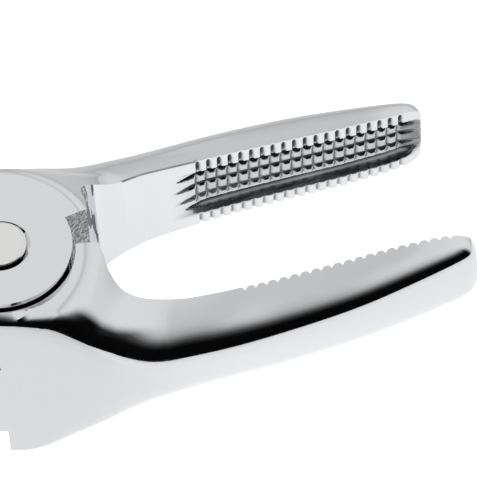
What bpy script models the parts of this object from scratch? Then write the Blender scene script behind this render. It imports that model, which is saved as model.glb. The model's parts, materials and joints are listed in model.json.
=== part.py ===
"""A plier-type nutcracker: two cast arms in a lap joint, closed by one rivet.

Both arms are the same casting. One is turned over about its long axis, so
its disc lies behind the other's. The nutcracker lies flat, Z up, X towards
the jaws, with the pivot axis on Z and the jaws part open. Units are metres.
"""
import math

import bmesh
import bpy
import numpy as np

MM = 0.001

# Pose: each arm is turned this far from the closed line, in degrees.
HALF_OPEN = 10.0

# Lap joint, in millimetres, measured from the middle plane.
DISC_TOP = 12.0          # flat face of the disc that carries the rivet head
SHOULDER_TOP = 11.0      # lower ring that surrounds the other arm's disc
DISC_R = 7.9
POCKET_R = 8.2           # clears the other arm's disc
BOSS_R = 11.0            # outer edge of the boss's rounding, on the disc's side
RING_R = 10.7            # the same on the shoulder's side
BOSS_SOFT = 1.5          # width of that rounding
BOSS_DROP = 0.9          # how far it falls
BOSS_SLOPE = 1.0         # fall towards the jaw beyond it
BOSS_FILLET = 2.0        # fillet where it meets the arm
LAP_GAP = 0.15           # each disc stops this far from the middle plane
STOP_Y = 0.15            # stop faces, from the closed line
REST_GAP = 0.1           # the rivet's closed end stands this far below the disc

# Rivet and washers.
BORE_R = 2.45
PIN_R = 2.1
COUNTERBORE_R = 3.35
COUNTERBORE_FLOOR = 10.7
HEAD_R = 3.0
HEAD_PROUD = 0.5
CLOSED_HEAD_R = 2.9
WASHER_T = 0.45
WASHER_R = 3.05
CLEAR = 0.3
SPACER_R = 5.0
SPACER_POCKET_R = 5.3
SPACER_POCKET = 0.65
SPACER_T = 0.7

# Jaw.
JAW_TIP_X = 52.0
THROAT = ((10.55, 0.15), (11.1, 1.6), (12.2, 5.2), (15.6, 5.5))   # foot, start, knee, end
MOUTH_FROM_X = 15.5      # the mouth cutter ends here
JAW_FACE_X = 17.0        # and the jaw's own flat face begins here
TOOTH_FIRST_X = 26.0
TOOTH_PITCH = 1.22
TOOTH_COUNT = 20
TOOTH_DEPTH = 0.35
DISH_DEPTH = 0.45

# Where each arm's lobes end around the disc, in degrees from +X.
JAW_LOBE_END = 98.0
HANDLE_LOBE_START = 222.0
SHOULDER_R = 14.5        # the handle's shoulder starts outside the jaw lobe's path
HEEL_Y = -0.5            # the handle root keeps this far from the closed line
HEEL_END_X = -14.1

# Plan of the arm: (x, y) stations that the smooth outline passes through.
PLUS_SIDE = ((-106, -12.6), (-100, -9.2), (-80, -8.4), (-60, -8.0), (-40, -6.2), (-24, -3.4),
             (-14, -0.9), (-10.6, 8.2), (-6, 9.4), (-4, 10.1), (0, 11.1), (4, 11.85), (8, 12.4),
             (12, 12.65), (16, 12.3), (20, 11.65), (28, 10.25), (38, 7.9), (46, 5.2), (49.8, 3.7),
             (51.4, 2.9), (52, 2.2))
MINUS_SIDE = ((-106, -16.0), (-100, -19.6), (-80, -22.2), (-60, -22.4), (-40, -20.2), (-24, -16.6),
              (-16, -14.2), (-12, -12.2), (-9.5, -10.6), (-4, -11.6), (0, -12.8), (8, -12.4),
              (10.6, -10.0), (13, -4.0), (15.5, 3.8), (17, 5.6), (19, 5.65), (21.7, 5.35),
              (28, 4.3), (36, 2.75), (44, 1.15), (50, 0.35), (51.4, 0.4), (52, 0.8))
# The line where the section is deepest.
RIDGE = ((-14, -7.8), (-8, 0.0), (8, 0.0), (11.4, 1.5), (13, 3.2), (15.5, 5.0), (17, 5.6))
HALF_DEPTH = ((-106, 1.8), (-104.6, 4.4), (-101, 6.9), (-94, 8.4), (-70, 10.0), (-45, 10.5),
              (-25, 10.6), (-10, 11.0), (0, 11.05), (4, 10.9), (8, 9.9), (10.6, 8.85), (13, 7.75),
              (15.5, 6.6), (19, 6.2), (26, 5.7), (36, 5.4), (45, 5.15), (49.8, 4.8), (51.4, 4.1),
              (52, 2.8))
# Squareness of the section: 2 is an ellipse, more is fuller.
FULLNESS = ((-106, 2.0), (-60, 2.3), (-20, 3.0), (-8, 4.5), (0, 5.0), (4, 4.6), (8, 3.3),
            (12, 2.45), (16, 2.15), (20, 1.95), (30, 2.2), (52, 2.6))
# Outward lean of the +Y flank per millimetre of height.
FLANK_LEAN = ((-11, 0.0), (-6, 0.1), (0, 0.1), (4, 0.07), (8, 0.03), (12, 0.0))

RING_POINTS = 20


def smooth_curve(points, x):
    """Value at x of a smooth curve through the points, flat beyond both ends."""
    px = np.array([p[0] for p in points], float)
    py = np.array([p[1] for p in points], float)
    slope = np.diff(py) / np.diff(px)
    tangent = np.zeros(len(px))
    inner = slope[:-1] * slope[1:] > 0
    harmonic = 2 * slope[:-1] * slope[1:] / np.where(inner, slope[:-1] + slope[1:], 1)
    tangent[1:-1] = np.where(inner, harmonic, 0)
    tangent[0], tangent[-1] = slope[0], slope[-1]
    x = np.clip(np.asarray(x, float), px[0], px[-1])
    i = np.clip(np.searchsorted(px, x) - 1, 0, len(px) - 2)
    h = px[i + 1] - px[i]
    u = (x - px[i]) / h
    return ((2 * u**3 - 3 * u**2 + 1) * py[i] + (u**3 - 2 * u**2 + u) * h * tangent[i]
            + (3 * u**2 - 2 * u**3) * py[i + 1] + (u**3 - u**2) * h * tangent[i + 1])


def smooth_step(u):
    u = np.clip(u, 0, 1)
    return u * u * (3 - 2 * u)


def raise_to(top, radius, r, z, slope):
    """Height z joined softly to a flat round boss with a rounded edge and a falling skirt."""
    out = np.clip((r - radius + BOSS_SOFT) / BOSS_SOFT, 0, 0.95)
    boss = top - BOSS_DROP * (1 - np.sqrt(1 - out**2)) - slope * np.maximum(0, r - radius)
    near = np.maximum(0, 1 - np.abs(boss - z) / BOSS_FILLET)
    return np.maximum(boss, z) + out * BOSS_FILLET * near * near / 4


def tooth_cut(x):
    """Depth of the V notches across the jaw face: full at each notch, none between."""
    phase = (x - TOOTH_FIRST_X) / TOOTH_PITCH
    inside = (phase > -0.6) & (phase < TOOTH_COUNT - 0.4)
    return np.where(inside, TOOTH_DEPTH * np.maximum(0, 1 - 2 * np.abs(phase - np.round(phase))), 0)


def dish_cut(x, across):
    """Depth of the long hollow along the jaw face; across is -1 to 1 over its depth."""
    ends = smooth_step((x - 19) / 4) * smooth_step((JAW_TIP_X - x) / 1.5)
    return DISH_DEPTH * ends * np.maximum(0, 1 - (across / 0.85) ** 2)


def arm_ring(x):
    """One closed ring of points round the arm at station x."""
    high = float(smooth_curve(PLUS_SIDE, x))
    low = float(smooth_curve(MINUS_SIDE, x))
    depth = float(smooth_curve(HALF_DEPTH, x))
    power = 2 / float(smooth_curve(FULLNESS, x))
    lean = float(smooth_curve(FLANK_LEAN, x))
    angle = 2 * np.pi * (np.arange(RING_POINTS) + 0.5) / RING_POINTS
    c = np.sign(np.cos(angle)) * np.abs(np.cos(angle)) ** power
    s = np.sign(np.sin(angle)) * np.abs(np.sin(angle)) ** power
    # The jaw is a D: flat inside and a half ellipse outside.
    flat = float(smooth_step((x - MOUTH_FROM_X) / (JAW_FACE_X - MOUTH_FROM_X)))
    if x < RIDGE[0][0]:
        middle = (high + low) / 2
    elif x > RIDGE[-1][0]:
        middle = low
    else:
        middle = float(smooth_curve(RIDGE, x))
    y = middle + np.where(c > 0, (high - middle) * c, (middle - low) * c)
    z = depth * s
    if flat:
        edge = np.abs(np.tan(np.clip(angle - np.pi, -1.2, 1.2))) / math.tan(1.2)
        inner = c < 0
        across = np.sign(s) * np.minimum(1, edge * 1.04)
        z = np.where(inner, z * (1 - flat) + depth * across * flat, z)
        cut = tooth_cut(x) + dish_cut(x, across)
        y = np.where(inner, y + cut * flat, y)
        y = np.where(inner, y, np.maximum(y, low + tooth_cut(x)))
    y = y + lean * z * np.maximum(0, c)
    r = np.hypot(x, y)
    slope = BOSS_SLOPE + 0.25 * np.maximum(0, y - 7.5)
    front = raise_to(DISC_TOP, BOSS_R, r, np.abs(z), slope)
    back = -raise_to(SHOULDER_TOP, RING_R, r, np.abs(z), slope)
    near = smooth_step((18 - abs(x)) / 3) * smooth_step((np.abs(z) - 4) / 3)
    z = z + (np.where(z > 0, front, back) - z) * near
    return np.stack([np.full(RING_POINTS, x), y, z], 1)


def arm_stations():
    """Stations along the arm, close together where its shape changes quickly."""
    handle = (-106, -105.4, -104.2, -102, -98, -92, -84, -74, -64, -54, -44, -34, -25, -18, -14)
    pivot = (-12.5, -11.4, -10.6, -9.5, -8, -6, -3, 0, 3, 6, 8, 9.4, 10.5, 11.6, 13, 14.3, 15.5)
    jaw = (17, 19, 21.5, 23.6)
    teeth = TOOTH_FIRST_X + TOOTH_PITCH * (np.arange(2 * TOOTH_COUNT) / 2 - 0.5)
    tip = (49.3, 50.4, 51.4, 51.8, 52)
    return (*handle, *pivot, *jaw, *teeth, *tip)


def arm_blank():
    """The arm before it is machined: rings lofted from the handle end to the jaw tip."""
    rings = [arm_ring(x) * MM for x in arm_stations()]
    bm = bmesh.new()
    loops = [[bm.verts.new(p) for p in ring] for ring in rings]
    for a, b in zip(loops, loops[1:]):
        for k in range(RING_POINTS):
            n = (k + 1) % RING_POINTS
            bm.faces.new((a[k], b[k], b[n], a[n]))
    ends = [bm.faces.new(loops[0]), bm.faces.new(loops[-1][::-1])]
    bmesh.ops.poke(bm, faces=ends)
    bmesh.ops.triangulate(bm, faces=bm.faces)
    bmesh.ops.recalc_face_normals(bm, faces=bm.faces)
    mesh = bpy.data.meshes.new("arm_blank")
    bm.to_mesh(mesh)
    bm.free()
    return mesh


def arc(radius, start, end, count, centre=(0.0, 0.0)):
    """Points on an arc, angles in degrees."""
    angles = np.radians(np.linspace(start, end, count))
    return [(centre[0] + radius * math.cos(a), centre[1] + radius * math.sin(a)) for a in angles]


def throat_outline():
    """The throat wall: a quadratic curve from its start to its end by way of its knee."""
    foot, start, knee, end = (np.array(p) for p in THROAT)
    t = np.linspace(0, 1, 9)[:, None]
    curve = (1 - t)**2 * start + 2 * t * (1 - t) * knee + t**2 * end
    return [tuple(foot), *(tuple(p) for p in curve)]


def mouth_outline():
    """Everything outside the disc that belongs to the other arm's jaw or to the nut."""
    far = 30.0
    start = HANDLE_LOBE_START - 360
    shoulder = arc(SHOULDER_R, start, start, 1)[0]
    face_y = float(smooth_curve(MINUS_SIDE, JAW_FACE_X))
    return [*arc(DISC_R, start, math.degrees(math.asin(STOP_Y / DISC_R)), 22),
            *throat_outline(), (JAW_FACE_X, face_y - 0.02),
            (JAW_FACE_X + 1, -far), (shoulder[0], -far), shoulder]


def heel_outline():
    """Everything outside the disc that belongs to the other arm's handle."""
    far = 30.0
    angle = math.radians(JAW_LOBE_END)
    return [*arc(DISC_R, JAW_LOBE_END, 180 - math.degrees(math.asin(HEEL_Y / DISC_R)), 14),
            (HEEL_END_X, HEEL_Y), (HEEL_END_X, far), (far * math.cos(angle), far * math.sin(angle))]


def prism(name, outline, half_height):
    """A closed mesh object: a flat outline with the given height each way from z = 0."""
    curve = bpy.data.curves.new(name, "CURVE")
    curve.dimensions = "2D"
    curve.fill_mode = "BOTH"
    curve.extrude = half_height * MM
    spline = curve.splines.new("POLY")
    spline.points.add(len(outline) - 1)
    for point, (x, y) in zip(spline.points, outline):
        point.co = (x * MM, y * MM, 0, 1)
    spline.use_cyclic_u = True
    drawn = bpy.data.objects.new(name + "_outline", curve)
    bpy.context.scene.collection.objects.link(drawn)
    mesh = baked_mesh(drawn, name)
    bm = bmesh.new()
    bm.from_mesh(mesh)
    bmesh.ops.remove_doubles(bm, verts=bm.verts, dist=0.01 * MM)
    bmesh.ops.recalc_face_normals(bm, faces=bm.faces)
    bm.to_mesh(mesh)
    bm.free()
    bpy.data.objects.remove(drawn)
    return bpy.data.objects.new(name, mesh)


def turned(name, profile, steps):
    """A turned object: (radius, z) points down its outer side, carried round Z."""
    mesh = bpy.data.meshes.new(name)
    points = [(r * MM, 0, z * MM) for r, z in profile]
    mesh.from_pydata(points, [(i, i + 1) for i in range(len(points) - 1)], [])
    obj = bpy.data.objects.new(name, mesh)
    screw = obj.modifiers.new("turn", "SCREW")
    screw.axis = "Z"
    screw.steps = screw.render_steps = steps
    screw.use_merge_vertices = True
    screw.merge_threshold = 0.00001
    return obj


def baked_mesh(obj, name):
    """The object's mesh with its modifiers applied."""
    graph = bpy.context.evaluated_depsgraph_get()
    graph.update()
    mesh = bpy.data.meshes.new_from_object(obj.evaluated_get(graph))
    mesh.name = name
    return mesh


def cut(target, cutter):
    boolean = target.modifiers.new(cutter.name, "BOOLEAN")
    boolean.operation = "DIFFERENCE"
    boolean.solver = "EXACT"
    boolean.object = cutter


def hub_profile():
    """The rear pocket, the spacer pocket, the bore and the counterbore in one."""
    far = 20.0
    return [(0, far), (COUNTERBORE_R, far), (COUNTERBORE_R, COUNTERBORE_FLOOR),
            (BORE_R, COUNTERBORE_FLOOR), (BORE_R, SPACER_POCKET),
            (SPACER_POCKET_R, SPACER_POCKET), (SPACER_POCKET_R, LAP_GAP),
            (POCKET_R, LAP_GAP), (POCKET_R, -far), (0, -far)]


def arm_mesh(cutters):
    """The finished casting, ready to be placed twice."""
    blank = bpy.data.objects.new("blank", arm_blank())
    bpy.context.scene.collection.objects.link(blank)
    tools = [prism("mouth_cutter", mouth_outline(), 20), prism("heel_cutter", heel_outline(), 20),
             turned("hub_cutter", hub_profile(), 48)]
    for tool in tools:
        cutters.objects.link(tool)
        tool.hide_render = True
        tool.display_type = "WIRE"
        cut(blank, tool)
    mesh = baked_mesh(blank, "arm_casting")
    bpy.data.objects.remove(blank)
    return mesh


def material(name, rgb, roughness, metallic):
    made = bpy.data.materials.new(name)
    made.use_nodes = True
    shader = made.node_tree.nodes["Principled BSDF"]
    shader.inputs["Base Color"].default_value = (*rgb, 1)
    shader.inputs["Roughness"].default_value = roughness
    shader.inputs["Metallic"].default_value = metallic
    return made


def chrome_material():
    return material("polished_chrome", (0.80, 0.80, 0.81), 0.05, 1.0)


def steel_material():
    return material("nickel_steel", (0.72, 0.72, 0.72), 0.16, 1.0)


def bronze_material():
    return material("spacer_bronze", (0.60, 0.42, 0.22), 0.35, 1.0)


def finish(obj, collection, made):
    """Put a part in its collection with its material and smooth round faces."""
    collection.objects.link(obj)
    obj.data.materials.clear()
    obj.data.materials.append(made)
    obj.data.shade_smooth()
    obj.data.set_sharp_from_angle(angle=math.radians(32))


def pivot_rivet():
    """The rivet: a wide flat head in front and a closed head behind."""
    head_z = DISC_TOP + HEAD_PROUD
    back = -DISC_TOP - REST_GAP
    under_head = COUNTERBORE_FLOOR + CLEAR
    washer_top = -COUNTERBORE_FLOOR - CLEAR - WASHER_T - CLEAR
    return turned("pivot_rivet", [
        (0, head_z), (HEAD_R - 0.25, head_z), (HEAD_R, head_z - 0.2), (HEAD_R, under_head),
        (PIN_R, under_head), (PIN_R, washer_top), (CLOSED_HEAD_R, washer_top),
        (CLOSED_HEAD_R, back + 0.15), (CLOSED_HEAD_R - 0.3, back), (0, back)], 40)


def flat_ring(name, outer, inner, middle, thickness):
    """A washer as a closed ring about Z."""
    top = middle + thickness / 2
    bottom = middle - thickness / 2
    return turned(name, [(inner, top), (outer, top), (outer, bottom), (inner, bottom),
                         (inner, top)], 40)


def build():
    for old in list(bpy.data.objects):
        bpy.data.objects.remove(old)
    scene = bpy.context.scene
    parts = bpy.data.collections.new("nutcracker")
    cutters = bpy.data.collections.new("cutters")
    scene.collection.children.link(parts)
    scene.collection.children.link(cutters)

    middle_z = (DISC_TOP + REST_GAP) * MM
    casting = arm_mesh(cutters)
    chrome, steel, bronze = chrome_material(), steel_material(), bronze_material()

    front = bpy.data.objects.new("front_arm", casting)
    front.location.z = middle_z
    front.rotation_euler.z = math.radians(HALF_OPEN)
    rear = bpy.data.objects.new("rear_arm", casting.copy())
    rear.location.z = middle_z
    rear.rotation_euler = (math.pi, 0, math.radians(-HALF_OPEN))

    rivet = pivot_rivet()
    spacer = flat_ring("spacer_washer", SPACER_R, PIN_R + CLEAR, 0, SPACER_T)
    back_washer_z = -COUNTERBORE_FLOOR - CLEAR - WASHER_T / 2
    back_washer = flat_ring("rivet_washer", WASHER_R, PIN_R + CLEAR, back_washer_z, WASHER_T)
    for obj in (rivet, spacer, back_washer):
        obj.location.z = middle_z

    finish(front, parts, chrome)
    finish(rear, parts, chrome)
    finish(rivet, parts, steel)
    finish(back_washer, parts, steel)
    finish(spacer, parts, bronze)


build()
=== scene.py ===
"""Nutcracker: the finished look of the two chromed castings, their rivet and washers."""

import json
import math

import bpy
import numpy as np
from mathutils import Matrix, Vector


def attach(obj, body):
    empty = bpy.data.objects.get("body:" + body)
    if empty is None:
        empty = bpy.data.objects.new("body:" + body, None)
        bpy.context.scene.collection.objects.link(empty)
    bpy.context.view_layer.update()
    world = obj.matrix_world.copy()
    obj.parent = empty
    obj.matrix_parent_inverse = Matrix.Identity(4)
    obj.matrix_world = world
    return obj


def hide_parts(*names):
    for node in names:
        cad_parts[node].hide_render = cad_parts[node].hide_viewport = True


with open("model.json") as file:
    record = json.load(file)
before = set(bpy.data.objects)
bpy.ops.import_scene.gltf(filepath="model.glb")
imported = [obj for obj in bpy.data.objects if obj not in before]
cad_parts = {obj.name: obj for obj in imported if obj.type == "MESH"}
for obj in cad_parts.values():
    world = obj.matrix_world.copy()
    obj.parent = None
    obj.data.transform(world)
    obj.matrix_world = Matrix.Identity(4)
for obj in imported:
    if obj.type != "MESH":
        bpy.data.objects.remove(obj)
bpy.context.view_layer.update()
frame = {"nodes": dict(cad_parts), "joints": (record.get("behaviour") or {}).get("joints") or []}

MM = 0.001

# ---------------------------------------------------------------- real sizes, in millimetres

DISC_TOP = 12.0          # flat face of the disc that carries the rivet head
SHOULDER_TOP = 11.0      # lower ring round the other arm's disc
DISC_R = 7.9
POCKET_R = 8.2
BOSS_R = 11.0            # outer edge of the boss's rounding, on the disc's side
RING_R = 10.7            # the same on the ring's side
BOSS_SOFT = 1.5          # width of that rounding
BOSS_DROP = 0.9          # how far it falls
BOSS_SLOPE = 1.0         # fall towards the jaw beyond it
RING_SOFT = 2.4          # the ring's edge is broader and gentler
RING_DROP = 0.45
RING_SLOPE = 0.35
RING_CURVE = 0.05        # and how fast that slope grows
RING_FADE = (10.4, 3.6)  # it gives way to the arm from this radius, over this width
RING_FLANK = (0.76, 0.22)        # and towards the flank, as parts of the arm's half width
RAISED_FROM = (4.0, 3.0)         # boss and ring are raised from this depth, over this run
RAISED_TO = (18.0, 3.0)          # and end at this x, fading over this length
SPACER_POCKET_R = 5.3
SPACER_POCKET = 0.65
BOSS_FILLET = 2.0        # fillet where it meets the arm
LAP_GAP = 0.15
STOP_Y = 0.15
BORE_R = 2.45
COUNTERBORE_R = 3.35
COUNTERBORE_FLOOR = 10.7
HALF_OPEN = 10.0         # degrees each arm is turned from the closed line
PIN_R = 2.1
HEAD_R = 3.0
HEAD_PROUD = 0.5
CLOSED_HEAD_R = 2.9
WASHER_T = 0.45
CLEAR = 0.3
REST_GAP = 0.1
EDGE = 0.28              # rounding of the rivet head's edge
HINGE = frame["joints"][0]["pos_m"]

THROAT = ((10.55, 0.15), (11.1, 1.6), (11.4, 6.3))    # foot, start and knee of its curve
THROAT_EASE = 2.5        # how far its end runs along the jaw's face
THROAT_TWIST = 0.8       # how much higher the knee stands on the disc's side
MOUTH_FROM_X = 15.5
JAW_FACE_X = 17.0
JAW_TIP_X = 51.95
TOOTH_FIRST_X = 26.0
TOOTH_PITCH = 1.22
TOOTH_COUNT = 20
TIP_RUN = 2.8            # notches and furrows run out over this length at the tip
DARK_RUN = (48.6, 1.2)   # painted shade darkens the scoop evenly from this x, over this length
NOTCH_DEPTH = 0.45       # V notches across the jaw
NOTCH_HALF_WIDTH = 0.34
SCOOP_DEPTH = 0.75       # long hollow between the two plain margins
SCOOP_FROM_X = 22.2
SCOOP_TO_X = 27.5
SCOOP_TOP = (0.56, 0.66)         # across the face, as parts of the half depth
SCOOP_FOOT = (-0.74, -0.50)
FURROW_DEPTH = 0.38      # furrows along the scoop
FURROW_HALF_WIDTH = 0.085
FURROW_TAIL = 3.0        # length over which each furrow grows to full depth
FURROWS = ((0.44, 23.1), (0.115, 22.6), (-0.245, 22.8), (-0.50, 23.8))   # place across, start x

EDGE_LINE = (16.3, 26.2)         # where the dark line of painted shade on the face's upper edge begins and ends
EDGE_LINE_POINTS = 7     # how many traced points wide it is

JAW_LOBE_END = 98.0
HANDLE_LOBE_START = 222.0
SHOULDER_R = 14.5
HEEL_Y = -0.5
HEEL_END_X = -14.1

# Plan and depth of the arm: stations that the smooth outlines pass through.
PLUS_SIDE = ((-106, -12.6), (-100, -9.2), (-80, -8.4), (-60, -8.0), (-40, -6.2), (-24, -3.4),
             (-14, -0.9), (-10.6, 8.0), (-6, 9.1), (-4, 9.7), (0, 10.7), (4, 11.5), (8, 12.1),
             (12, 12.5), (16, 12.3), (20, 11.65), (28, 10.25), (38, 7.9), (46, 5.2), (49.8, 3.7),
             (51.4, 2.9), (52, 2.2))
MINUS_SIDE = ((-106, -16.0), (-100, -19.6), (-80, -21.91), (-60, -22.11), (-40, -20.2), (-24, -16.6),
              (-16, -14.2), (-12, -12.2), (-9.5, -10.6), (-4, -11.6), (0, -12.8), (8, -12.4),
              (10.6, -10.0), (13, -4.0), (15.5, 3.8), (17, 5.6), (19, 5.65), (21.7, 5.35),
              (28, 4.3), (36, 2.75), (44, 1.15), (50, 0.35), (51.4, 0.4), (52, 0.8))
RIDGE = ((-14, -7.8), (-8, 0.0), (8, 0.0), (11.4, 1.5), (13, 3.2), (15.5, 5.0), (17, 5.6),
         *MINUS_SIDE[16:])
HALF_DEPTH = ((-106, 1.8), (-104.6, 4.4), (-101, 6.9), (-94, 8.4), (-70, 10.0), (-45, 10.5),
              (-25, 10.6), (-10, 11.0), (0, 11.05), (4, 11.0), (8, 10.5), (10.6, 9.3), (13, 7.9),
              (15.5, 6.6), (19, 6.2), (26, 5.7), (36, 5.4), (45, 5.15), (49.8, 4.8), (51.4, 4.1),
              (52, 2.8))
FULLNESS = ((-106, 2.0), (-60, 2.3), (-20, 3.0), (-8, 4.5), (0, 5.5), (4, 5.4), (8, 4.1),
            (12, 2.7), (16, 2.15), (20, 1.95), (30, 2.2), (52, 2.6))
FLANK_LEAN = ((-11, 0.0), (-6, 0.06), (0, 0.06), (4, 0.04), (8, 0.02), (12, 0.0))

CUTTER_HALF_HEIGHT = 13.0
SOFTEN_REACH = 2.4       # how far each outline curve is averaged along the arm
HALF_POINTS = 90         # points on each half of a section
TRACE_POINTS = 500       # points traced before they are spaced evenly
SHARP_ANGLE = 30         # degrees; sharper edges stay crisp

# ---------------------------------------------------------------- small tools


def smooth_curve(points, x):
    """Cubic Hermite curve through the points, with harmonic-mean slopes so it never overshoots."""
    px = np.array([p[0] for p in points], float)
    py = np.array([p[1] for p in points], float)
    slope = np.diff(py) / np.diff(px)
    tangent = np.zeros(len(px))
    rising = slope[:-1] * slope[1:] > 0
    harmonic = 2 * slope[:-1] * slope[1:] / np.where(rising, slope[:-1] + slope[1:], 1)
    tangent[1:-1] = np.where(rising, harmonic, 0)
    tangent[0], tangent[-1] = slope[0], slope[-1]
    x = np.clip(np.asarray(x, float), px[0], px[-1])
    i = np.clip(np.searchsorted(px, x) - 1, 0, len(px) - 2)
    h = px[i + 1] - px[i]
    u = (x - px[i]) / h
    return ((2 * u**3 - 3 * u**2 + 1) * py[i] + (u**3 - 2 * u**2 + u) * h * tangent[i]
            + (3 * u**2 - 2 * u**3) * py[i + 1] + (u**3 - u**2) * h * tangent[i + 1])


def smooth_step(u):
    u = np.clip(u, 0, 1)
    return u * u * (3 - 2 * u)


def softened(points, x):
    """The curve averaged over a short run either side of x, shorter near the jaw's tip."""
    reach = min(SOFTEN_REACH, 0.6 * (JAW_TIP_X - x))
    shift = np.linspace(-1, 1, 9)
    weight = 1 - 0.8 * shift**2
    return float(np.sum(smooth_curve(points, x + reach * shift) * weight) / np.sum(weight))


def grid_mesh(name, grid, close_round=True, cap_ends=True):
    """Mesh of a (rows, columns, 3) grid in metres: quads between neighbours, a fan at each end."""
    rows, cols = grid.shape[:2]
    index = np.arange(rows * cols).reshape(rows, cols)
    after = np.roll(index, -1, axis=1) if close_round else index[:, 1:]
    here = index if close_round else index[:, :-1]
    faces = np.stack([here[:-1], here[1:], after[1:], after[:-1]], -1).reshape(-1, 4)
    points = grid.reshape(-1, 3)
    fans = np.zeros((0, 3), int)
    if cap_ends:
        first, last = rows * cols, rows * cols + 1
        points = np.vstack([points, grid[0].mean(0), grid[-1].mean(0)])
        start = np.stack([np.full(cols, first), index[0], np.roll(index[0], -1)], 1)
        end = np.stack([np.full(cols, last), np.roll(index[-1], -1), index[-1]], 1)
        fans = np.vstack([start, end])
    mesh = bpy.data.meshes.new(name)
    mesh.from_pydata(points.tolist(), [], faces.tolist() + fans.tolist())
    return mesh


def add_object(name, mesh):
    obj = bpy.data.objects.new(name, mesh)
    bpy.context.scene.collection.objects.link(obj)
    return obj


def baked(obj):
    """The object's mesh with its modifiers applied."""
    graph = bpy.context.evaluated_depsgraph_get()
    graph.update()
    return bpy.data.meshes.new_from_object(obj.evaluated_get(graph))


# ---------------------------------------------------------------- the casting


def raise_to(top, radius, soft, drop, r, z, slope):
    """Height z joined softly to a flat round boss.

    The boss is flat at the top out to its rounded edge, which falls away as a quarter
    ellipse and then at the given slope. The two heights a and b are joined as
    max(a, b) + u k h h / 4, where h = max(0, 1 - |a - b| / k) and u runs from 0 on the
    flat to 1 at its edge.
    """
    out = np.clip((r - radius + soft) / soft, 0, 0.95)
    boss = top - drop * (1 - np.sqrt(1 - out**2)) - slope * np.maximum(0, r - radius)
    h = np.maximum(0, 1 - np.abs(boss - z) / BOSS_FILLET)
    return np.maximum(boss, z) + out * BOSS_FILLET * h * h / 4


def vee(distance, half_width):
    """1 on the line itself, falling straight to 0 at half_width either side."""
    return np.maximum(0, 1 - np.abs(distance) / half_width)


def notch_cut(x):
    """Depth of the V notches across the jaw, one at each pitch along the row."""
    run = (x - TOOTH_FIRST_X) / TOOTH_PITCH
    nearest = np.clip(np.round(run), 0, TOOTH_COUNT - 1)
    return NOTCH_DEPTH * vee(x - TOOTH_FIRST_X - nearest * TOOTH_PITCH, NOTCH_HALF_WIDTH)


def furrow_cut(x, across):
    """Depth of the furrows: V grooves along the jaw, each running out in a pointed tail."""
    deep = np.zeros_like(across)
    for place, start in FURROWS:
        grown = smooth_step((x - start) / FURROW_TAIL)
        width = FURROW_HALF_WIDTH * (0.35 + 0.65 * grown)
        deep = np.maximum(deep, FURROW_DEPTH * (x > start) * np.sqrt(grown) * vee(across - place, width))
    return deep


def notch_share(across):
    """How deep the notches go at each place across the jaw: full in the two plain margins,
    shallow among the furrows and hardly any on the scoop's lower wall."""
    in_top = smooth_step((across - SCOOP_TOP[0]) / 0.10)
    on_wall = smooth_step((-0.36 - across) / 0.10)
    in_foot = smooth_step((SCOOP_FOOT[0] + 0.04 - across) / 0.06)
    at_edge = 1 - 0.75 * smooth_step((across - 0.86) / 0.12)
    within = (0.62 + 0.38 * in_top) * (1 - on_wall) * at_edge
    return within + 0.12 * on_wall * (1 - in_foot) + 0.75 * in_foot


def face_cut(x, z, depth):
    """Depth cut into the jaw face, and how much painted shade each point takes in the notches, furrows and
    scoop (0 to 1).

    The scoop is SCOOP_DEPTH deep between two smooth-step walls and fades in along the jaw;
    furrows and notches are cut below it, whichever is deeper at each point, and all of
    them run out at the tip.
    """
    across = z / depth
    wall_top = smooth_step((SCOOP_TOP[1] - across) / (SCOOP_TOP[1] - SCOOP_TOP[0]))
    wall_foot = smooth_step((across - SCOOP_FOOT[0]) / (SCOOP_FOOT[1] - SCOOP_FOOT[0]))
    end = 0.12 + 0.88 * smooth_step((JAW_TIP_X - x) / TIP_RUN)
    run_out = smooth_step((x - DARK_RUN[0]) / DARK_RUN[1])
    fade = smooth_step((x - SCOOP_FROM_X) / (SCOOP_TO_X - SCOOP_FROM_X)) * end
    inside = wall_top * wall_foot
    notch = notch_cut(x) * notch_share(across)
    furrow = furrow_cut(x, across)
    fine = np.maximum(notch, furrow) * end
    # Painted shade: the notches, furrows, the scoop's foot wall and the scoop floor get a darker colour
    # through this value.
    pale = 0.45 + 0.55 * smooth_step((across - SCOOP_FOOT[0]) / 0.1)
    painted_shade = np.clip(1.25 * np.maximum(notch * pale, furrow) / FURROW_DEPTH, 0, 1)
    painted_shade = np.maximum(painted_shade, fade * wall_top * np.minimum(1, 6 * wall_foot * (1 - wall_foot)))
    painted_shade = np.maximum(painted_shade, 0.35 * fade * inside)
    painted_shade = np.maximum(painted_shade, 0.85 * run_out * inside)
    return SCOOP_DEPTH * fade * inside + fine, painted_shade


def edge_line(x):
    """Painted shade along the jaw face's upper edge: a dark line from the throat to the first notch (0 to
    1).
    """
    start, end = EDGE_LINE
    return float(smooth_step((x - start) / 0.5) * smooth_step((end - x) / 0.5))


def arm_stations():
    """Stations along the arm, closest where the teeth are."""
    first = TOOTH_FIRST_X - TOOTH_PITCH / 2
    end = first + TOOTH_PITCH * TOOTH_COUNT
    spans = ((-105.92, -102, 12), (-102, -92, 10), (-92, -16, 26), (-16, 16, 142), (16, 22, 14),
             (22, first, 16), (first, end, 12 * TOOTH_COUNT))
    runs = [np.linspace(a, b, n, endpoint=False) for a, b, n in spans]
    tip = np.linspace(0, 1, 16)
    return np.concatenate([*runs, end + (JAW_TIP_X - end) * np.sin(tip * math.pi / 2)])


def respaced(x, y, z, count):
    """The same traced line, its points spaced evenly but closer on the boss's edge."""
    r = np.hypot(x, y)
    weight = 1 + 3 * np.exp(-((r - RING_R) / 1.2) ** 2)
    step = np.hypot(np.diff(y), np.diff(z)) * (weight[1:] + weight[:-1]) / 2
    run = np.concatenate([[0], np.cumsum(step)])
    at = np.linspace(0, run[-1], count)
    return np.interp(at, run, y), np.interp(at, run, z)


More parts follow.
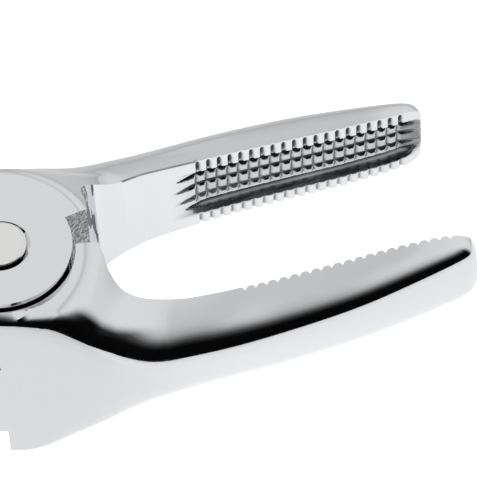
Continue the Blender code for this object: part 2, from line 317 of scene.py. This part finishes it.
def section(x):
    """One section at station x.

    Each half is a superellipse quarter pair about the ridge line: y runs from the
    ridge to that side, z is the depth, and the exponent sets how square it is. The
    jaw's inner half is instead a straight face with the tooth pattern cut in. The
    round boss is raised out of the disc's side by radius from the pivot, and the lower
    ring out of the other side, where it gives way softly to the arm and its flank.
    """
    high, low = softened(PLUS_SIDE, x), float(smooth_curve(MINUS_SIDE, x))
    depth = softened(HALF_DEPTH, x)
    power = 2 / softened(FULLNESS, x)
    lean = softened(FLANK_LEAN, x)
    flat = float(smooth_step((x - MOUTH_FROM_X) / (JAW_FACE_X - MOUTH_FROM_X)))
    in_handle = float(smooth_step((RIDGE[0][0] + 1 - x) / 3))
    ridge = softened(RIDGE, x) * (1 - in_handle) + (high + low) / 2 * in_handle
    near = float(smooth_step((RAISED_TO[0] - abs(x)) / RAISED_TO[1]))
    halves = []
    for side in (1, -1):
        painted_shade = np.zeros(TRACE_POINTS)
        turn = np.linspace(-math.pi / 2, math.pi / 2, TRACE_POINTS) * side
        c = np.abs(np.cos(turn)) ** power
        s = np.sign(np.sin(turn)) * np.abs(np.sin(turn)) ** power
        y = ridge + ((high - ridge) if side > 0 else (low - ridge)) * c
        z = depth * s
        if side > 0:
            y = np.maximum(y, low + float(notch_cut(x)) * flat)
        elif flat > 0:
            even = depth * np.linspace(1, -1, TRACE_POINTS)
            z = z * (1 - flat) + even * flat
            # face_cut also gives the painted shade for the notches, furrows and scoop.
            cut, painted_shade = face_cut(x, z, depth)
            # painted shade: a dark line along the face's upper edge
            painted_shade[:EDGE_LINE_POINTS] = edge_line(x)
            y = y * (1 - flat) + (low + cut) * flat
        y = y + lean * z * c * (side > 0)
        r = np.hypot(x, y)
        up = raise_to(DISC_TOP, BOSS_R, BOSS_SOFT, BOSS_DROP, r, np.abs(z),
                      BOSS_SLOPE + 0.25 * np.maximum(0, y - 7.5))
        down = -raise_to(SHOULDER_TOP, RING_R, RING_SOFT, RING_DROP, r, np.abs(z),
                         RING_SLOPE + RING_CURVE * np.maximum(0, r - RING_R))
        raised = smooth_step((np.abs(z) - RAISED_FROM[0]) / RAISED_FROM[1]) * near
        on_flank = smooth_step((y / high - RING_FLANK[0]) / RING_FLANK[1])
        outside = smooth_step((r - RING_FADE[0]) / RING_FADE[1])
        raised = raised * np.where(z > 0, 1, (1 - on_flank) * (1 - outside))
        z = z + (np.where(z > 0, up, down) - z) * raised
        if flat == 1 and side < 0:
            at = np.linspace(0, TRACE_POINTS - 1, HALF_POINTS)
            y, z, painted_shade = (np.interp(at, np.arange(TRACE_POINTS), v) for v in (y, z, painted_shade))
        else:
            y, z = respaced(x, y, z, HALF_POINTS)
            painted_shade = np.zeros(HALF_POINTS)
        halves.append(np.stack([np.full(HALF_POINTS, x), y, z, painted_shade], 1)[:-1])
    return np.vstack(halves)


def arc(radius, start, end, count, centre=(0.0, 0.0)):
    """Points on an arc, angles in degrees."""
    a = np.radians(np.linspace(start, end, count))
    return np.stack([centre[0] + radius * np.cos(a), centre[1] + radius * np.sin(a)], 1)


def mouth_outline(twist):
    """Everything outside the disc that belongs to the other jaw or to the nut.

    The throat runs as the cubic curve (1-t)^3 a + 3t(1-t)^2 b + 3t^2(1-t) c + t^3 d from
    its start by way of its knee, which the twist moves up or down, and ends along the
    jaw's face, tangent to it.
    """
    far = 30.0
    start = HANDLE_LOBE_START - 360
    shoulder = arc(SHOULDER_R, start, start, 1)[0]
    foot, a, b = (np.array(p) for p in THROAT)
    face, further = (float(smooth_curve(MINUS_SIDE, JAW_FACE_X + run)) for run in (0, 0.2))
    d = np.array([JAW_FACE_X, face - 0.005])
    c = d - THROAT_EASE * np.array([1, (further - face) / 0.2])
    b = b + np.array([0, twist])
    t = np.linspace(0, 1, 40)[:, None]
    throat = (1 - t)**3 * a + 3 * t * (1 - t)**2 * b + 3 * t**2 * (1 - t) * c + t**3 * d
    return [*arc(DISC_R, start, math.degrees(math.asin(STOP_Y / DISC_R)), 90), foot,
            *throat, (JAW_FACE_X + 1, -far), (shoulder[0], -far), shoulder]


def heel_outline():
    """Everything outside the disc that belongs to the other arm's handle."""
    far = 30.0
    angle = math.radians(JAW_LOBE_END)
    return [*arc(DISC_R, JAW_LOBE_END, 180 - math.degrees(math.asin(HEEL_Y / DISC_R)), 50),
            (HEEL_END_X, HEEL_Y), (HEEL_END_X, far), (far * math.cos(angle), far * math.sin(angle))]


def prism_mesh(name, low_outline, high_outline, half_height):
    """Closed prism between two outlines with the same number of points."""
    count = len(low_outline)
    low = np.column_stack([np.array(low_outline, float), np.full(count, -half_height)])
    high = np.column_stack([np.array(high_outline, float), np.full(count, half_height)])
    here = np.arange(count)
    after = np.roll(here, -1)
    walls = np.stack([here, after, after + count, here + count], 1).tolist()
    x, y = low[:, 0], low[:, 1]
    area = np.sum(x * np.roll(y, -1) - np.roll(x, -1) * y)
    faces = walls + [here[::-1].tolist(), (here + count).tolist()]
    if area < 0:
        faces = [f[::-1] for f in faces]
    mesh = bpy.data.meshes.new(name)
    mesh.from_pydata((np.vstack([low, high]) * MM).tolist(), [], faces)
    return mesh


def turned_grid(profile, steps):
    """A profile of (radius, z) points carried round Z: a (points, steps, 3) grid in metres."""
    profile = np.array(profile, float) * MM
    turn = np.linspace(0, 2 * np.pi, steps, endpoint=False)
    r, z = profile[:, :1], profile[:, 1:]
    return np.stack([r * np.cos(turn), r * np.sin(turn), z + 0 * turn], -1)


def hub_mesh():
    """The rear pocket, spacer pocket, bore and counterbore as one turned cutter."""
    far = 20.0
    profile = [(COUNTERBORE_R, far), (COUNTERBORE_R, COUNTERBORE_FLOOR), (BORE_R, COUNTERBORE_FLOOR),
               (BORE_R, SPACER_POCKET), (SPACER_POCKET_R, SPACER_POCKET),
               (SPACER_POCKET_R, LAP_GAP), (POCKET_R, LAP_GAP), (POCKET_R, -far)]
    return grid_mesh("hub_cutter", turned_grid(profile, 180))


def casting_mesh():
    """The finished casting in its own frame: pivot on Z, middle plane at z = 0."""
    rings = np.stack([section(float(x)) for x in arm_stations()])
    blank = add_object("casting", grid_mesh("casting", rings[..., :3] * MM))
    # Painted shade per point, for the notches, furrows, scoop and the face's upper edge, kept as an
    # attribute for the chrome.
    depth = np.append(rings[..., 3].ravel(), [0.0, 0.0])
    blank.data.attributes.new("painted_shade", "FLOAT", "POINT").data.foreach_set("value", depth)
    heel = heel_outline()
    cutters = [prism_mesh("mouth_cutter", mouth_outline(-THROAT_TWIST), mouth_outline(THROAT_TWIST),
                          CUTTER_HALF_HEIGHT),
               prism_mesh("heel_cutter", heel, heel, CUTTER_HALF_HEIGHT), hub_mesh()]
    for mesh in cutters:
        tool = add_object(mesh.name, mesh)
        boolean = blank.modifiers.new(mesh.name, "BOOLEAN")
        boolean.operation = "DIFFERENCE"
        boolean.solver = "EXACT"
        boolean.object = tool
    mesh = baked(blank)
    for made in [blank] + [m.object for m in blank.modifiers]:
        bpy.data.objects.remove(made)
    return mesh


def rivet_mesh():
    """The rivet: a profile of (radius, z) turned round Z.

    The head's edge is a quarter circle of radius EDGE, so it takes a dark line of
    reflection all round; the shank and the closed end match the part they replace.
    """
    top = DISC_TOP + HEAD_PROUD
    back = -DISC_TOP - REST_GAP
    under = COUNTERBORE_FLOOR + CLEAR
    washer = -COUNTERBORE_FLOOR - CLEAR - WASHER_T - CLEAR
    turn = np.linspace(0, math.pi / 2, 8)
    crown = [(HEAD_R - EDGE + EDGE * math.sin(a), top - EDGE + EDGE * math.cos(a)) for a in turn]
    foot = [(CLOSED_HEAD_R - EDGE + EDGE * math.cos(a), back + EDGE - EDGE * math.sin(a)) for a in turn]
    face = [(r, top) for r in np.linspace(0.25, HEAD_R - EDGE - 0.05, 8)]
    closed = [(r, back) for r in np.linspace(CLOSED_HEAD_R - EDGE - 0.05, 0.25, 8)]
    profile = [*face, *crown, (HEAD_R, under), (PIN_R, under), (PIN_R, washer),
               (CLOSED_HEAD_R, washer), *foot, *closed]
    return grid_mesh("rivet", turned_grid(profile[::-1], 144))


def placed(mesh, turn):
    """A copy of the mesh moved by a matrix, so that its object can stay at the origin."""
    copy = mesh.copy()
    copy.transform(turn)
    return copy


# ---------------------------------------------------------------- materials


def linear(hex_colour):
    """An sRGB hex colour as linear RGBA."""
    srgb = np.array([int(hex_colour[i:i + 2], 16) / 255 for i in (0, 2, 4)])
    rgb = np.where(srgb <= 0.04045, srgb / 12.92, ((srgb + 0.055) / 1.055) ** 2.4)
    return (*rgb.tolist(), 1.0)


def node(tree, kind, settings=None, **links):
    """Add a node; settings are its own values or input numbers, links feed its inputs."""
    made = tree.nodes.new(kind)
    for key, value in (settings or {}).items():
        if key in made.inputs:
            made.inputs[key].default_value = value
        else:
            setattr(made, key, value)
    for key, source in links.items():
        tree.links.new(source, made.inputs[key.replace("_", " ")])
    return made


def new_material(name):
    made = bpy.data.materials.new(name)
    made.use_nodes = True
    made.node_tree.nodes.clear()
    return made, made.node_tree


def polished_chrome():
    """Chrome plate over a polished casting: a bright neutral mirror with a faint waviness
    left by the buffing wheel, duller down in the tooth furrows, which the wheel never reached,
    and darker there with painted shade broken into short streaks along the jaw."""
    made, tree = new_material("polished_chrome_plate")
    place = node(tree, "ShaderNodeTexCoord").outputs["Object"]
    # The painted shade value of the notches, furrows, scoop and upper edge.
    deep = node(tree, "ShaderNodeAttribute", {"attribute_name": "painted_shade"}).outputs["Fac"]
    wave = node(tree, "ShaderNodeTexNoise", {"Scale": 70.0, "Detail": 2.0}, Vector=place)
    haze = node(tree, "ShaderNodeTexNoise", {"Scale": 260.0, "Detail": 4.0}, Vector=place)
    along = node(tree, "ShaderNodeMapping", {"Scale": (300.0, 2600.0, 2600.0)}, Vector=place)
    streak = node(tree, "ShaderNodeTexNoise", {"Scale": 1.0, "Detail": 3.0}, Vector=along.outputs["Vector"])
    shade = node(tree, "ShaderNodeMapRange", {"From Min": 0.35, "From Max": 0.65, "To Min": 0.72,
                                              "To Max": 1.0}, Value=streak.outputs["Fac"])
    depth = node(tree, "ShaderNodeMath", {"operation": "MULTIPLY"})
    tree.links.new(deep, depth.inputs[0])
    tree.links.new(shade.outputs["Result"], depth.inputs[1])
    colour = node(tree, "ShaderNodeMix", {"data_type": "RGBA"})
    tree.links.new(depth.outputs[0], colour.inputs[0])
    # 4E4F51 is the painted shade colour, streaked along the jaw.
    colour.inputs[6].default_value = linear("D6D7D9")
    colour.inputs[7].default_value = linear("4E4F51")
    rough = node(tree, "ShaderNodeMapRange", {"From Min": 0.3, "From Max": 0.8, "To Min": 0.035,
                                              "To Max": 0.075}, Value=haze.outputs["Fac"])
    dull = node(tree, "ShaderNodeMath", {"operation": "MULTIPLY_ADD"})
    tree.links.new(depth.outputs[0], dull.inputs[0])
    dull.inputs[1].default_value = 0.22
    tree.links.new(rough.outputs["Result"], dull.inputs[2])
    bump = node(tree, "ShaderNodeBump", {"Strength": 0.03, "Distance": 0.001},
                Height=wave.outputs["Fac"])
    shader = node(tree, "ShaderNodeBsdfPrincipled", {"Metallic": 1.0}, Base_Color=colour.outputs[2],
                  Roughness=dull.outputs[0], Normal=bump.outputs["Normal"])
    node(tree, "ShaderNodeOutputMaterial", Surface=shader.outputs["BSDF"])
    return made


def as_cast_chrome():
    """Chrome plate over the untouched casting skin of the stop: the same metal, but pebbled
    and pitted, so it breaks the reflections into a grey sparkle."""
    made, tree = new_material("as_cast_chrome_plate")
    place = node(tree, "ShaderNodeTexCoord").outputs["Object"]
    pebble = node(tree, "ShaderNodeTexVoronoi", {"Scale": 2600.0, "Randomness": 1.0}, Vector=place)
    grit = node(tree, "ShaderNodeTexNoise", {"Scale": 2200.0, "Detail": 5.0, "Roughness": 0.7}, Vector=place)
    pits = node(tree, "ShaderNodeMapRange", {"From Min": 0.42, "From Max": 0.60}, Value=grit.outputs["Fac"])
    colour = node(tree, "ShaderNodeMix", {"data_type": "RGBA"})
    tree.links.new(pits.outputs["Result"], colour.inputs[0])
    colour.inputs[6].default_value = linear("8E8E90")
    colour.inputs[7].default_value = linear("C8C9CB")
    height = node(tree, "ShaderNodeMath", {"operation": "ADD"})
    tree.links.new(pebble.outputs["Distance"], height.inputs[0])
    tree.links.new(grit.outputs["Fac"], height.inputs[1])
    bump = node(tree, "ShaderNodeBump", {"Strength": 0.55, "Distance": 0.00025}, Height=height.outputs[0])
    shader = node(tree, "ShaderNodeBsdfPrincipled", {"Metallic": 1.0, "Roughness": 0.32},
                  Base_Color=colour.outputs[2], Normal=bump.outputs["Normal"])
    node(tree, "ShaderNodeOutputMaterial", Surface=shader.outputs["BSDF"])
    return made


def filed_chrome():
    """Chrome plate over a filed throat wall: a duller blue-grey sheen with upright file
    streaks and a few dark torn patches near its top."""
    made, tree = new_material("filed_chrome_plate")
    place = node(tree, "ShaderNodeTexCoord").outputs["Object"]
    upright = node(tree, "ShaderNodeMapping", {"Scale": (1500.0, 1500.0, 160.0)}, Vector=place)
    file = node(tree, "ShaderNodeTexNoise", {"Scale": 1.0, "Detail": 3.0},
                Vector=upright.outputs["Vector"])
    height = node(tree, "ShaderNodeSeparateXYZ", Vector=place).outputs["Z"]
    top = node(tree, "ShaderNodeMapRange", {"From Min": 0.012, "From Max": 0.0195, "To Min": 0.63,
                                            "To Max": 0.45}, Value=height)
    torn = node(tree, "ShaderNodeMath", {"operation": "GREATER_THAN"})
    tree.links.new(file.outputs["Fac"], torn.inputs[0])
    tree.links.new(top.outputs["Result"], torn.inputs[1])
    colour = node(tree, "ShaderNodeMix", {"data_type": "RGBA"})
    tree.links.new(torn.outputs[0], colour.inputs[0])
    colour.inputs[6].default_value = linear("B7BABF")
    colour.inputs[7].default_value = linear("55565A")
    rough = node(tree, "ShaderNodeMapRange", {"To Min": 0.14, "To Max": 0.30}, Value=file.outputs["Fac"])
    bump = node(tree, "ShaderNodeBump", {"Strength": 0.12, "Distance": 0.0002}, Height=file.outputs["Fac"])
    shader = node(tree, "ShaderNodeBsdfPrincipled", {"Metallic": 1.0}, Base_Color=colour.outputs[2],
                  Roughness=rough.outputs["Result"], Normal=bump.outputs["Normal"])
    node(tree, "ShaderNodeOutputMaterial", Surface=shader.outputs["BSDF"])
    return made


def washer_steel(name, pale, dark):
    """Flat stamped washer: tumbled metal with a fine even mottle, plainly duller than the chrome."""
    made, tree = new_material(name)
    place = node(tree, "ShaderNodeTexCoord").outputs["Object"]
    mottle = node(tree, "ShaderNodeTexNoise", {"Scale": 900.0, "Detail": 3.0}, Vector=place)
    colour = node(tree, "ShaderNodeMix", {"data_type": "RGBA"})
    tree.links.new(mottle.outputs["Fac"], colour.inputs[0])
    colour.inputs[6].default_value = linear(dark)
    colour.inputs[7].default_value = linear(pale)
    shader = node(tree, "ShaderNodeBsdfPrincipled", {"Metallic": 1.0, "Roughness": 0.34},
                  Base_Color=colour.outputs[2])
    node(tree, "ShaderNodeOutputMaterial", Surface=shader.outputs["BSDF"])
    return made


def rivet_nickel():
    """Bright nickel-plated rivet steel: a mirror like the castings, a touch warmer, with the
    faint rings that spinning the head closed leaves on it."""
    made, tree = new_material("spun_nickel_plate")
    place = node(tree, "ShaderNodeTexCoord").outputs["Object"]
    flat = node(tree, "ShaderNodeMapping", {"Scale": (1.0, 1.0, 0.0)}, Vector=place)
    rings = node(tree, "ShaderNodeTexWave", {"wave_type": "RINGS", "rings_direction": "SPHERICAL",
                                             "Scale": 900.0, "Distortion": 0.6, "Detail": 2.0},
                 Vector=flat.outputs["Vector"])
    rough = node(tree, "ShaderNodeMapRange", {"To Min": 0.04, "To Max": 0.09}, Value=rings.outputs["Fac"])
    bump = node(tree, "ShaderNodeBump", {"Strength": 0.02, "Distance": 0.0001}, Height=rings.outputs["Fac"])
    shader = node(tree, "ShaderNodeBsdfPrincipled", {"Base Color": linear("DBDBD9"), "Metallic": 1.0},
                  Roughness=rough.outputs["Result"], Normal=bump.outputs["Normal"])
    node(tree, "ShaderNodeOutputMaterial", Surface=shader.outputs["BSDF"])
    return made


# ---------------------------------------------------------------- studio

CAMERA_AZIMUTH = -13.85
CAMERA_ELEVATION = 53.3
CAMERA_ROLL = 3.59
CAMERA_TARGET = Vector((0.02778, -0.00038, 0.0121))
CAMERA_DISTANCE = 0.563
CAMERA_LENS = 365.0

FLOOR_HALF_SIZE = 1.5
FLOOR_GAIN = 1.2
FLOOR_LEVELS = ((0.0, 1.0), (0.09, 1.0), (0.17, 0.95), (0.4, 0.87), (1.0, 0.78))
FLOOR_NEAR_JOINT = 0.86  # the floor lies in the thick joint's soft shade there
FLOOR_BEHIND = 0.62      # how bright the floor beyond the tool is, against the floor before it
# Light level against the sine of the elevation, round the tent and in its open near side.
TENT_LEVELS = ((0.0, 0.80), (0.3, 0.92), (0.6, 1.0), (1.0, 0.98))
ROOM_LEVELS = ((0.0, 0.002), (0.40, 0.004), (0.47, 0.02), (0.56, 0.09), (0.65, 0.30), (0.74, 0.62),
               (0.86, 0.88), (1.0, 0.98))
# Light level across the tent, from left (0) to right (1): a softer seam a little right of the middle.
SEAM_LEVELS = ((0.0, 0.97), (0.572, 0.98), (0.593, 0.80), (0.612, 0.78), (0.645, 0.94), (0.72, 1.0))


def add_camera():
    """Camera on the jaws from above the lower jaw's side, slightly rolled."""
    a, e, r = (math.radians(v) for v in (CAMERA_AZIMUTH, CAMERA_ELEVATION, CAMERA_ROLL))
    back = Vector((math.sin(a) * math.cos(e), -math.cos(a) * math.cos(e), math.sin(e)))
    right = Vector((math.cos(a), math.sin(a), 0))
    up = back.cross(right)
    side = right * math.cos(r) - up * math.sin(r)
    top = right * math.sin(r) + up * math.cos(r)
    data = bpy.data.cameras.new("camera")
    data.lens = CAMERA_LENS
    data.sensor_width = 36.0
    data.clip_start = 0.01
    camera = bpy.data.objects.new("camera", data)
    turn = Matrix((side, top, back)).transposed().to_4x4()
    camera.matrix_world = Matrix.Translation(CAMERA_TARGET + back * CAMERA_DISTANCE) @ turn
    bpy.context.scene.collection.objects.link(camera)
    bpy.context.scene.camera = camera


def ramp(tree, value, stops, kind="EASE"):
    """A grey ramp: pairs of position and linear level, joined softly."""
    made = node(tree, "ShaderNodeValToRGB", Fac=value)
    made.color_ramp.interpolation = kind
    points = made.color_ramp.elements
    while len(points) < len(stops):
        points.new(0.5)
    for point, (place, level) in zip(points, stops):
        point.position = place
        point.color = (level, level, level, 1)
    return made.outputs["Color"]


def add_floor():
    """A wide white table. The camera sees it as plain white paper. What the chrome mirrors
    of it carries painted light and shade: greyer away from the tool and beyond it, and darker under the
    thick joint."""
    half = FLOOR_HALF_SIZE
    mesh = grid_mesh("floor", np.array([[(-half, -half, 0), (half, -half, 0)],
                                        [(-half, half, 0), (half, half, 0)]], float),
                     close_round=False, cap_ends=False)
    floor = add_object("floor", mesh)
    made, tree = new_material("white_table")
    place = node(tree, "ShaderNodeTexCoord").outputs["Object"]
    reach = node(tree, "ShaderNodeVectorMath", {"operation": "LENGTH"}, Vector=place)
    away = node(tree, "ShaderNodeMapRange", {"From Min": 0.0, "From Max": 0.4},
                Value=reach.outputs["Value"])
    level = ramp(tree, away.outputs["Result"], FLOOR_LEVELS)
    depth = node(tree, "ShaderNodeSeparateXYZ", Vector=place).outputs["Y"]
    behind = node(tree, "ShaderNodeMapRange", {"interpolation_type": "SMOOTHSTEP", "From Min": 0.008,
                                               "From Max": 0.035, "To Min": 1.0,
                                               "To Max": FLOOR_BEHIND}, Value=depth)
    level = node(tree, "ShaderNodeVectorMath", {"operation": "SCALE"}, Vector=level,
                 Scale=behind.outputs["Result"]).outputs["Vector"]
    # Painted shadow of the thick joint on the floor, seen only in the chrome.
    along = node(tree, "ShaderNodeSeparateXYZ", Vector=place).outputs["X"]
    shade = node(tree, "ShaderNodeMapRange", {"interpolation_type": "SMOOTHSTEP", "From Min": 0.0,
                                              "From Max": 0.028, "To Min": FLOOR_NEAR_JOINT},
                 Value=along)
    level = node(tree, "ShaderNodeVectorMath", {"operation": "SCALE"}, Vector=level,
                 Scale=shade.outputs["Result"]).outputs["Vector"]
    seen = node(tree, "ShaderNodeLightPath").outputs["Is Camera Ray"]
    paper = node(tree, "ShaderNodeMix", {"data_type": "RGBA"})
    paper.inputs[7].default_value = (1, 1, 1, 1)
    tree.links.new(seen, paper.inputs[0])
    tree.links.new(level, paper.inputs[6])
    glow = node(tree, "ShaderNodeEmission", {"Strength": FLOOR_GAIN}, Color=paper.outputs[2])
    node(tree, "ShaderNodeOutputMaterial", Surface=glow.outputs["Emission"])
    mesh.materials.append(made)


def add_studio_light():
    """A white tent above and behind the tool, with the dark room left open on the near side."""
    world = bpy.data.worlds.new("studio")
    world.use_nodes = True
    tree = world.node_tree
    tree.nodes.clear()
    toward = node(tree, "ShaderNodeTexCoord").outputs["Generated"]
    height = node(tree, "ShaderNodeSeparateXYZ", Vector=toward).outputs["Z"]
    a = math.radians(CAMERA_AZIMUTH)
    near = node(tree, "ShaderNodeVectorMath", {"operation": "DOT_PRODUCT"}, Vector=toward)
    near.inputs[1].default_value = (math.sin(a), -math.cos(a), 0)
    side = node(tree, "ShaderNodeMapRange", {"interpolation_type": "SMOOTHERSTEP", "From Min": 0.02,
                                             "From Max": 0.40}, Value=near.outputs["Value"])
    across = node(tree, "ShaderNodeSeparateXYZ", Vector=toward).outputs["X"]
    across = node(tree, "ShaderNodeMapRange", {"From Min": -1.0, "From Max": 1.0}, Value=across)
    seam = ramp(tree, across.outputs["Result"], SEAM_LEVELS)
    tent = node(tree, "ShaderNodeVectorMath", {"operation": "MULTIPLY"})
    tree.links.new(ramp(tree, height, TENT_LEVELS), tent.inputs[0])
    tree.links.new(seam, tent.inputs[1])
    tent = tent.outputs["Vector"]
    room = node(tree, "ShaderNodeVectorMath", {"operation": "MULTIPLY"})
    tree.links.new(ramp(tree, height, ROOM_LEVELS, "LINEAR"), room.inputs[0])
    tree.links.new(seam, room.inputs[1])
    room = room.outputs["Vector"]
    both = node(tree, "ShaderNodeMix", {"data_type": "RGBA"})
    tree.links.new(side.outputs["Result"], both.inputs[0])
    tree.links.new(tent, both.inputs[6])
    tree.links.new(room, both.inputs[7])
    background = node(tree, "ShaderNodeBackground", {"Strength": 1.0}, Color=both.outputs[2])
    node(tree, "ShaderNodeOutputWorld", Surface=background.outputs["Background"])
    bpy.context.scene.world = world
    bpy.context.scene.view_settings.view_transform = "Standard"


# ---------------------------------------------------------------- assembly


def mark_faces(mesh):
    """Put the flat stop face in the second material slot and the throat wall in the third;
    run before the mesh is placed."""
    count = len(mesh.polygons)
    centre, normal = np.zeros(count * 3), np.zeros(count * 3)
    mesh.polygons.foreach_get("center", centre)
    mesh.polygons.foreach_get("normal", normal)
    centre, normal = centre.reshape(-1, 3) / MM, normal.reshape(-1, 3)
    on_stop = ((normal[:, 1] < -0.99) & (np.abs(centre[:, 1] - STOP_Y) < 0.02)
               & (centre[:, 0] > DISC_R) & (centre[:, 0] < THROAT[0][0] + 0.1))
    x, y = centre[:, 0], centre[:, 1]
    in_throat = (normal[:, 0] > 0.22) & (x > THROAT[0][0]) & (x < THROAT[2][0] + THROAT_EASE)
    in_throat &= (y > STOP_Y) & (y < THROAT[2][1]) & (np.abs(normal[:, 2]) < 0.25)
    mesh.polygons.foreach_set("material_index", np.where(in_throat, 2, on_stop).astype(np.int32))


def finish_piece(obj, made):
    for slot, material in enumerate(made):
        obj.data.materials[slot] = material
    obj.data.shade_smooth()
    obj.data.set_sharp_from_angle(angle=math.radians(SHARP_ANGLE))


def build():
    chrome = polished_chrome()
    finishes = [chrome, as_cast_chrome(), filed_chrome()]
    casting = casting_mesh()
    casting.materials.clear()
    for made in finishes:
        casting.materials.append(made)
    mark_faces(casting)
    lift = Matrix.Translation(Vector(HINGE))
    open_front = Matrix.Rotation(math.radians(HALF_OPEN), 4, "Z")
    open_rear = Matrix.Rotation(math.radians(-HALF_OPEN), 4, "Z")
    over = Matrix.Rotation(math.pi, 4, "X")
    front = add_object("front_casting", placed(casting, lift @ open_front))
    rear = add_object("rear_casting", placed(casting, lift @ open_rear @ over))
    finish_piece(front, finishes)
    finish_piece(rear, finishes)
    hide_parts("front_arm")
    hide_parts("rear_arm")
    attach(front, "front")
    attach(rear, "rear")
    rivet = add_object("spun_rivet", placed(rivet_mesh(), lift))
    rivet.data.materials.append(None)
    finish_piece(rivet, [rivet_nickel()])
    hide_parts("pivot_rivet")
    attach(rivet, "rear")
    washers = {"rivet_washer": washer_steel("tumbled_nickel_washer", "C9C8C4", "9B9A97"),
               "spacer_washer": washer_steel("stamped_bronze_washer", "C49A5C", "8A6536")}
    for name, made in washers.items():
        for slot in frame["nodes"][name].material_slots:
            slot.material = made


build()
add_floor()
add_studio_light()
add_camera()
